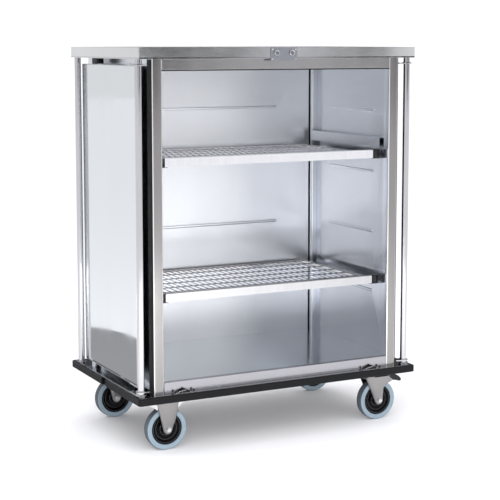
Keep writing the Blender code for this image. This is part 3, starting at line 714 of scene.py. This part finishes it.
def build_catches():
    """A domed roller between two wings on a steel foot plate, with a spring rod and two stop balls."""
    for hand, _ in HANDS:
        node = f"{hand}_door_catch"
        low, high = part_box(node)
        centre = (low + high) / 2
        foot = low.z + CATCH_FOOT
        bm = bmesh.new()
        add_slab(bm, rounded_outline(low.x, high.x, low.y, high.y, 0.003, 4), low.z, foot)
        for side in (-1, 1):
            place = (centre.x + side * CATCH_SCREW_OUT, centre.y, foot)
            add_screw(bm, place, (0, 0, 1), CATCH_SCREW_RADIUS)
        y = centre.y - CATCH_ROD_FORWARD
        ends = [(centre.x + x, y, foot + rise) for x, rise in zip(CATCH_ROD_X, CATCH_ROD_RISE)]
        add_rod(bm, *ends, CATCH_ROD_RADIUS)
        piece(f"{node}_plate", bm, "screw", "cabinet", [node])
        bm = bmesh.new()
        top = high.z - foot - 0.0004
        dome = [(0, 0.0001), (ROLLER_RADIUS, 0.0001), (0.0076, 0.0010), (ROLLER_RADIUS, top * 0.5)]
        for angle in np.radians(np.linspace(10, 80, 7)):
            dome.append((ROLLER_RADIUS * math.cos(angle), top * 0.5 + top * 0.5 * math.sin(angle)))
        dome.append((0, top))
        absorb(bm, shift(lathe(dome, 32), centre.x, centre.y, foot))
        wing = [(0.006, 0.0005), (0.021, 0.0005), (0.021, 0.0040)]
        wing += [(0.012, top * 0.62), (0.006, top * 0.70)]
        for side in (-1, 1):
            outline = [(centre.x + side * x, foot + z) for x, z in wing]
            add_slab(bm, outline, centre.y - WING_HALF, centre.y + WING_HALF, "XZ")
            stop = shift(ball(BALL_RADIUS), centre.x + side * BALL_OUT, centre.y - 0.001, foot + 0.0001)
            absorb(bm, stop)
        piece(f"{node}_roller", bm, "plastic", "cabinet", (), 50)


def ball(radius):
    """A ball that rests on z = 0."""
    angles = np.linspace(0, math.pi, 11)
    return lathe([(radius * math.sin(a), radius - radius * math.cos(a)) for a in angles], 24)


# ------------------------------------------------------------ shelves

WIRE_RADIUS = 0.0017
WIRE_COUNT = 33
CROSS_RADIUS = 0.0024
CROSS_COUNT = 6
WIRE_INTO_FRAME = 0.0002
GUIDE_RADIUS = 0.0160
GUIDE_BORE = 0.004
GUIDE_GAP = 0.0015
RUNNER_SHEET = 0.0022


def build_shelves():
    for level in ("upper", "lower"):
        build_shelf(level)
        for hand, side in HANDS:
            softened(f"{level}_{hand}_runner", "wall", 0.0006, 2)
            build_guide(level, hand, side)


def build_shelf(level):
    """A rounded front rail, a bar frame, and round wires welded over cross wires."""
    body = f"{level}_shelf"
    node = f"{level}_shelf_frame"
    # the upper rail's steel carries painted light and the lower rail's carries painted shade
    softened(node, f"{level}_rail", 0.0022, 4)
    low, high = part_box(f"{level}_shelf_deck")
    bm = bmesh.new()
    into = WIRE_INTO_FRAME
    z = high.z - WIRE_RADIUS
    for x in np.linspace(low.x + 0.018, high.x - 0.018, WIRE_COUNT):
        add_rod(bm, (x, low.y - into, z), (x, high.y + into, z), WIRE_RADIUS, 10)
    z = high.z - 2 * WIRE_RADIUS - CROSS_RADIUS + 0.0004
    for y in np.linspace(low.y + 0.040, high.y - 0.040, CROSS_COUNT):
        add_rod(bm, (low.x - into, y, z), (high.x + into, y, z), CROSS_RADIUS, 12)
    piece(f"{level}_shelf_wires", bm, "wire", body, [f"{level}_shelf_deck"], 50)


def build_guide(level, hand, side):
    """A black guide roller that stands on the runner's front end, beside the shelf."""
    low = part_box(f"{level}_{hand}_runner")[0]
    frame_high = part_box(f"{level}_shelf_frame")[1]
    foot = low.z + RUNNER_SHEET
    top = frame_high.z - 0.001
    radius = GUIDE_RADIUS
    waist = radius - 0.001
    end = radius * 0.94
    profile = [(GUIDE_BORE, foot), (end, foot), (radius, foot + 0.002), (radius, foot + 0.012)]
    profile += [(waist, foot + 0.013), (waist, top - 0.013)]
    profile += [(radius, top - 0.012), (radius, top - 0.002), (end, top), (GUIDE_BORE, top)]
    centre_x = side * (frame_high.x + radius + GUIDE_GAP)
    bm = shift(lathe(profile, 36), centre_x, low.y + radius + 0.002)
    piece(f"{level}_{hand}_guide", bm, "plastic", "cabinet", (), 40)


# ------------------------------------------------------------ casters

LEG_FACE = 0.0266
LEG_PRESS = 0.8
# The pressed curve of a caster leg: height above the axle, left and right edge, depth of the curve.
FIXED_LEG = (
    (0.110, -0.0455, 0.0440, 0.0080),
    (0.063, -0.0330, 0.0390, 0.0080),
    (0.030, -0.0240, 0.0290, 0.0070),
    (0.000, -0.0165, 0.0170, 0.0050),
    (-0.012, -0.0130, 0.0130, 0.0030),
    (-0.0175, -0.0060, 0.0060, 0.0006),
)
SWIVEL_LEG = (
    (0.0960, -0.0605, 0.0500, 0.0060),
    (0.0700, -0.0480, 0.0460, 0.0070),
    (0.0480, -0.0390, 0.0200, 0.0075),
    (0.0000, -0.0170, 0.0170, 0.0050),
    (-0.012, -0.0130, 0.0130, 0.0030),
    (-0.0175, -0.0060, 0.0060, 0.0006),
)
GUSSET_Y = (0.0226, 0.0250)
GUSSET_REACH = ((-1, 0.074), (1, 0.066))
PEDAL_HALF = 0.0205
PEDAL_EDGE = 0.0035
GRIP_OFFSETS = (0.040, 0.047, 0.054, 0.061)
GRIP_HALF = 0.015
GRIP_RADIUS = 0.0013
BOLT_OUT = (0.0440, 0.0340)
BOLT_ACROSS = 0.0120
BOLT_HEIGHT = 0.0048
NUT_ACROSS = 0.0165
NUT_HEIGHT = 0.0070
WASHER_RADII = (0.0061, 0.0110)
WASHER_THICK = 0.0012
TYRE_SHOULDER = 0.0045
RIM_WEB = 0.0080
RIM_IN = 0.0030
ARCH = np.radians(np.linspace(-20, 200, 9))


def build_casters():
    for end, _ in ENDS:
        softened(f"{end}_left_caster_bracket", "caster", 0.0010, 3)
        softened(f"{end}_right_caster_plate", "caster", 0.0014, 3)
        softened(f"{end}_right_fork", "caster", 0.0010, 3)
        build_pedal(end)
        build_plate_bolts(f"{end}_left_caster_bracket")
        build_plate_bolts(f"{end}_right_caster_plate")
        for hand, _ in HANDS:
            build_wheel(f"{end}_{hand}")
        build_legs(f"{end}_left", "cabinet", FIXED_LEG)
        build_legs(f"{end}_right", f"{end}_right_swivel", SWIVEL_LEG)
        build_gussets(end)
        build_axle_nuts(f"{end}_left", "cabinet")
        build_axle_nuts(f"{end}_right", f"{end}_right_swivel")
        build_swivel_race(end)


def build_legs(corner, body, rows):
    """The two legs beside a wheel, pressed outwards into a shallow curve."""
    low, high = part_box(f"{corner}_tyre")
    centre = (low + high) / 2
    table = np.array(rows[::-1])
    bm = bmesh.new()
    for side in (-1, 1):
        grid = []
        for z in np.linspace(rows[-1][0], rows[0][0], 30):
            left, right, bulge = [np.interp(z, table[:, 0], table[:, k]) for k in (1, 2, 3)]
            line = []
            for turn in np.radians(np.linspace(180, 0, 19)):
                x = (left + right) / 2 + math.cos(turn) * (right - left) / 2
                y = side * (LEG_FACE + bulge * math.sin(turn) ** LEG_PRESS)
                line.append(bm.verts.new((centre.x + x, centre.y + y, centre.z + z)))
            grid.append(line)
        for lower, upper in zip(grid, grid[1:]):
            for k in range(len(lower) - 1):
                bm.faces.new((lower[k], lower[k + 1], upper[k + 1], upper[k]))
    piece(f"{corner}_legs", bm, "caster", body, (), 50)


def build_gussets(end):
    """The folded ears of the fixed caster's top plate, in a lighter steel than the plate: painted light.
    """
    low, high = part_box(f"{end}_left_tyre")
    centre = (low + high) / 2
    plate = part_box(f"{end}_left_caster_bracket")[1].z
    bm = bmesh.new()
    for side in (-1, 1):
        for way, reach in GUSSET_REACH:
            fold = plate - 0.004
            ear = [(0.040, fold), (reach, fold), (reach - 0.004, fold - 0.016), (0.040, fold - 0.036)]
            outline = [(centre.x + way * x, z) for x, z in ear]
            add_slab(bm, outline, *sorted(centre.y + side * y for y in GUSSET_Y), "XZ")
    # The ears get a lighter steel than the plate they fold from: painted light.
    piece(f"{end}_left_gussets_painted_light", bm, "screw", "cabinet")


def build_pedal(end):
    """A curved foot pedal with four grip bars across its top."""
    node = f"{end}_right_brake_pedal"
    low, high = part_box(node)
    centre = (low + high) / 2
    x = low.x + 0.006
    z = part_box(f"{end}_right_fork")[1].z - 0.0110
    outline = [(0.0, 0.0085), (0.018, 0.0112), (0.036, 0.0108), (0.052, 0.0068), (0.066, -0.0005)]
    outline += [(0.0765, -0.0105), (0.0795, -0.0165), (0.0770, -0.0215), (0.070, -0.0225)]
    outline += [(0.052, -0.0175), (0.030, -0.0140), (0.012, -0.0135)]
    outline += [(-0.0020, -0.0075), (-0.0055, 0.0010)]
    outline = [(x + u, z + w) for u, w in outline]
    bm = bmesh.new()
    add_slab(bm, outline, centre.y - PEDAL_HALF, centre.y + PEDAL_HALF, "XZ")
    pedal = piece(f"{node}_tread", bm, "plastic", f"{end}_right_brake", [node], 50)
    round_edges(pedal, PEDAL_EDGE, 4, 50)
    bm = bmesh.new()
    for offset in GRIP_OFFSETS:
        rise = 0.0104 - max(0.0, offset - 0.036) ** 2 * 17
        start = (x + offset, centre.y - GRIP_HALF, z + rise)
        add_rod(bm, start, (x + offset, centre.y + GRIP_HALF, z + rise), GRIP_RADIUS, 8)
    piece(f"{node}_grip", bm, "seal", f"{end}_right_brake")


def build_plate_bolts(node):
    """Four hexagon bolts under a caster's mounting plate."""
    low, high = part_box(node)
    centre_x = (low.x + high.x) / 2
    centre_y = (low.y + high.y) / 2
    under = high.z - 0.0050
    out_x, out_y = BOLT_OUT
    bm = bmesh.new()
    for sx in (-1, 1):
        for sy in (-1, 1):
            place = (centre_x + sx * out_x, centre_y + sy * out_y, under)
            add_hex(bm, place, (0, 0, -1), BOLT_ACROSS, BOLT_HEIGHT)
    piece(f"{node}_bolts", bm, "screw", "cabinet")


def build_swivel_race(end):
    """The pressed cup of the swivel bearing."""
    low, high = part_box(f"{end}_right_caster_plate")
    centre = (low + high) / 2
    cup = [(0.0302, 0.0002), (0.0345, 0.0010), (0.0360, 0.0040)]
    cup += [(0.0352, 0.0075), (0.0318, 0.0096), (0.0302, 0.0098)]
    bm = shift(lathe([(radius, low.z + rise) for radius, rise in cup], 48), centre.x, centre.y)
    piece(f"{end}_right_race", bm, "screw", "cabinet", (), 50)


def build_axle_nuts(corner, body):
    """Hexagon nuts and washers on both ends of the axle."""
    low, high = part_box(f"{corner}_tyre")
    centre = (low + high) / 2
    bm = bmesh.new()
    leg = LEG_FACE + 0.0046
    bore, rim = WASHER_RADII
    profile = [(bore, 0.0), (rim, 0.0), (rim, WASHER_THICK), (bore, WASHER_THICK)]
    for side in (-1, 1):
        washer = lathe(profile, 28, "Y" if side < 0 else "-Y")
        absorb(bm, shift(washer, centre.x, centre.y + side * leg, centre.z))
        place = (centre.x, centre.y + side * (leg + WASHER_THICK), centre.z)
        add_hex(bm, place, (0, side, 0), NUT_ACROSS, NUT_HEIGHT)
    piece(f"{corner}_axle_nuts", bm, "screw", body, (), 28)


def build_wheel(corner):
    """A tyre with flat sides and a tread painted darker as shade, on a black rim with a web, a hub and
    shiny beads.
    """
    body = f"{corner}_wheel"
    low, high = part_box(f"{corner}_tyre")
    centre = (low + high) / 2
    radius = (high.x - low.x) / 2
    half = (high.y - low.y) / 2
    hub_low, hub_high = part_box(f"{corner}_wheel_hub")
    rim = (hub_high.x - hub_low.x) / 2
    shoulder = TYRE_SHOULDER
    profile = [(rim + 0.0004, -half + 0.002), (rim + 0.0015, -half + 0.0004), (rim + 0.004, -half)]
    profile += [(radius - shoulder - 0.0035, -half)]
    for angle in np.radians(np.linspace(-80, -20, 6)):
        outer = radius - shoulder + shoulder * math.cos(angle)
        profile.append((outer - 0.0006, -half + shoulder + shoulder * math.sin(angle)))
    profile += [(radius - 0.0004, -half + 0.009), (radius, -half + 0.013)]
    profile += [(r, -y) for r, y in profile[::-1]]
    bm = shift(lathe(profile, 72, "Y"), *centre)
    tyre = piece(f"{corner}_tyre_band", bm, "tyre", body, [f"{corner}_tyre"], 40)
    # painted shade: the tread faces get the darker copy of the tyre rubber
    second_look(tyre, "tread", lambda face: on_tread(face, centre, radius))
    face = half - RIM_IN
    web = RIM_WEB
    one_side = [(0.0070, 0.0190), (0.0165, 0.0190), (0.0178, 0.0178), (0.0182, web + 0.002)]
    one_side += [(0.0210, web), (rim - 0.0130, web), (rim - 0.0100, web + 0.0020)]
    one_side += [(rim - 0.0062, face - 0.001), (rim - 0.0048, face), (rim - 0.0004, face)]
    one_side.append((rim, face - 0.0008))
    profile = [(r, -y) for r, y in one_side] + one_side[::-1]
    bm = shift(lathe(profile, 64, "Y"), *centre)
    piece(f"{corner}_rim", bm, "rim", body, [f"{corner}_wheel_hub"], 35)
    bm = bmesh.new()
    for side in (-1, 1):
        beads = ((0.0250, web, 0.0012), (0.0420, web, 0.0010), (rim - 0.0056, face - 0.0006, 0.0009))
        for reach, depth, width in beads:
            bead = [(reach + width * math.cos(a), side * (depth + width * math.sin(a))) for a in ARCH]
            absorb(bm, shift(lathe(bead, 64, "Y"), *centre))
    piece(f"{corner}_rim_beads", bm, "rim_edge", body, (), 60)


def on_tread(face, centre, radius):
    reach = math.hypot(face.center.x - centre.x, face.center.z - centre.z)
    return reach > radius - 0.0040 and abs(face.normal.y) < 0.75


# ------------------------------------------------------------ stage

CAMERA_PLACE = Vector((-2.454, -4.840, 1.505))
CAMERA_AZIMUTH = 27.23
CAMERA_PITCH = 6.52
CAMERA_LENS = 98.96
CAMERA_SHIFT_Y = -0.10
SENSOR_WIDTH = 36
CLIP_END = 60


def build_camera():
    camera = bpy.data.cameras.new("camera")
    camera.lens = CAMERA_LENS
    camera.sensor_width = SENSOR_WIDTH
    camera.shift_y = CAMERA_SHIFT_Y
    camera.clip_end = CLIP_END
    obj = bpy.data.objects.new("camera", camera)
    obj.location = CAMERA_PLACE
    obj.rotation_euler = (math.radians(90 - CAMERA_PITCH), 0, math.radians(-CAMERA_AZIMUTH))
    bpy.context.collection.objects.link(obj)
    bpy.context.scene.camera = obj


def card(name, corners, stops, roughness=0.9):
    """A flat studio surface whose brightness runs through the stops along its X extent."""
    bm = bmesh.new()
    bm.faces.new([bm.verts.new(corner) for corner in corners])
    mesh = bpy.data.meshes.new(name)
    bm.to_mesh(mesh)
    bm.free()
    look = Look(name, (0.5, 0.5, 0.5), roughness)
    coordinates = look.node("ShaderNodeTexCoord")
    split = look.node("ShaderNodeSeparateXYZ")
    look.link(coordinates.outputs["Generated"], split.inputs["Vector"])
    look.link(grey_ramp(look.tree, split.outputs["X"], stops), look.shader.inputs["Base Color"])
    look.set("Specular IOR Level", 0.0)
    mesh.materials.append(look.material)
    obj = bpy.data.objects.new(name, mesh)
    bpy.context.collection.objects.link(obj)
    return obj


def only_in_reflections(obj):
    """Keeps a studio surface out of everything but mirror-like reflections."""
    obj.visible_camera = False
    obj.visible_diffuse = False
    obj.visible_shadow = False
    obj.visible_transmission = False


FLOOR_HALF = 30
MAT_EDGE = (
    (-1.303, 0.2),
    (-1.303, 1.60),
    (-1.294, 1.72),
    (-1.257, 1.85),
    (-1.215, 1.93),
    (-1.165, 1.99),
    (-0.9, 2.15),
)
MAT_FAR = ((1.0, 2.3), (1.0, 0.2))
MAT_Z = 0.0006
ROOM_PLACE = Vector((-5.6, -9.6, 0))
ROOM_ACROSS = Vector((0.864, -0.504, 0))
ROOM_HALF = 3.2
ROOM_Z = (0.9, 5.0)
FLAG_ENDS = ((0.4, 4.3), (4.2, 2.3))
FLAG_Z = (0.001, 2.8)
CURTAIN_Y = -6.0
CURTAIN_X = (0.0, 6.2)
CURTAIN_Z = (1.06, 1.74)
CURTAIN_STOPS = (
    (0.0, 0.04),
    (0.30, 0.05),
    (0.36, 0.18),
    (0.44, 0.44),
    (0.56, 0.46),
    (0.64, 0.25),
    (0.70, 0.10),
    (1.0, 0.05),
)


def build_stage():
    """A pale floor, and surfaces that only the steel sees: a mat, a curtain, a dim room and a flag."""
    half = FLOOR_HALF
    floor = [(-half, -half, 0), (half, -half, 0), (half, half, 0), (-half, half, 0)]
    card("studio_floor", floor, ((0, 0.92),))
    mat = [(x, y, MAT_Z) for x, y in (*MAT_EDGE, *MAT_FAR)]
    only_in_reflections(card("studio_mat", mat[::-1], ((0, 0.30), (1, 0.34))))
    (x0, x1), (z0, z1) = CURTAIN_X, CURTAIN_Z
    curtain = [(x0, CURTAIN_Y, z0), (x0, CURTAIN_Y, z1), (x1, CURTAIN_Y, z1), (x1, CURTAIN_Y, z0)]
    only_in_reflections(card("studio_curtain", curtain, CURTAIN_STOPS))
    sides = (ROOM_PLACE - ROOM_ACROSS * ROOM_HALF, ROOM_PLACE + ROOM_ACROSS * ROOM_HALF)
    bottom, top = ROOM_Z
    room = [side + Vector((0, 0, bottom)) for side in sides]
    room += [side + Vector((0, 0, top)) for side in sides[::-1]]
    only_in_reflections(card("studio_room", room, ((0, 0.46),)))
    near, far = FLAG_ENDS
    bottom, top = FLAG_Z
    flag = [(*near, bottom), (*near, top), (*far, top), (*far, bottom)]
    only_in_reflections(card("studio_flag", flag, ((0, 0.05),)))


def area_light(name, place, target, size, power, colour=(1, 1, 1)):
    """A soft box that lights the matt pieces and the floor, and isn't seen in the steel."""
    light = bpy.data.lights.new(name, "AREA")
    light.shape = "RECTANGLE"
    light.size, light.size_y = size
    light.energy = power
    light.color = colour
    obj = bpy.data.objects.new(name, light)
    obj.location = place
    direction = Vector(target) - Vector(place)
    obj.rotation_euler = direction.to_track_quat("-Z", "Y").to_euler()
    obj.visible_glossy = False
    bpy.context.collection.objects.link(obj)


def build_lights():
    area_light("key", (-2.6, -3.2, 3.6), (0, 0, 0.8), (2.4, 1.8), 45)
    area_light("fill", (1.6, -3.8, 1.6), (0, 0, 0.8), (2.2, 2.2), 25)
    area_light("top", (0, 0.4, 3.8), (0, 0, 0), (3.0, 2.2), 30)
    area_light("low", (-0.9, -3.4, 0.62), (0, -0.1, 0), (3.6, 0.6), 105)


WORLD_WHITE = 1.13
WORLD_IN_STEEL = 0.93
BLUE_TRACE = 1.02


def grey_ramp(tree, source, stops):
    """Turns a value from 0 to 1 into greys, with a trace of blue, through (position, grey) stops."""
    ramp = tree.nodes.new("ShaderNodeValToRGB")
    elements = ramp.color_ramp.elements
    while len(elements) > 1:
        elements.remove(elements[-1])
    for index, (position, value) in enumerate(stops):
        element = elements[0] if index == 0 else elements.new(position)
        element.position = position
        element.color = (value, value, value * BLUE_TRACE, 1)
    tree.links.new(source, ramp.inputs["Fac"])
    return ramp.outputs["Color"]


def build_world():
    """White for the camera and for soft light, and slightly dimmer in reflections."""
    world = bpy.data.worlds.new("studio")
    world.use_nodes = True
    bpy.context.scene.world = world
    tree = world.node_tree
    background = tree.nodes["Background"]
    path = tree.nodes.new("ShaderNodeLightPath")
    stops = ((0.0, WORLD_WHITE), (1.0, WORLD_IN_STEEL))
    ramp = grey_ramp(tree, path.outputs["Is Glossy Ray"], stops)
    tree.links.new(ramp, background.inputs["Color"])


# ------------------------------------------------------------ assembly

build_cabinet()
build_doors()
build_locks()
build_catches()
build_shelves()
build_casters()
build_stage()
build_lights()
build_world()
build_camera()
bpy.context.scene.view_settings.view_transform = "Standard"
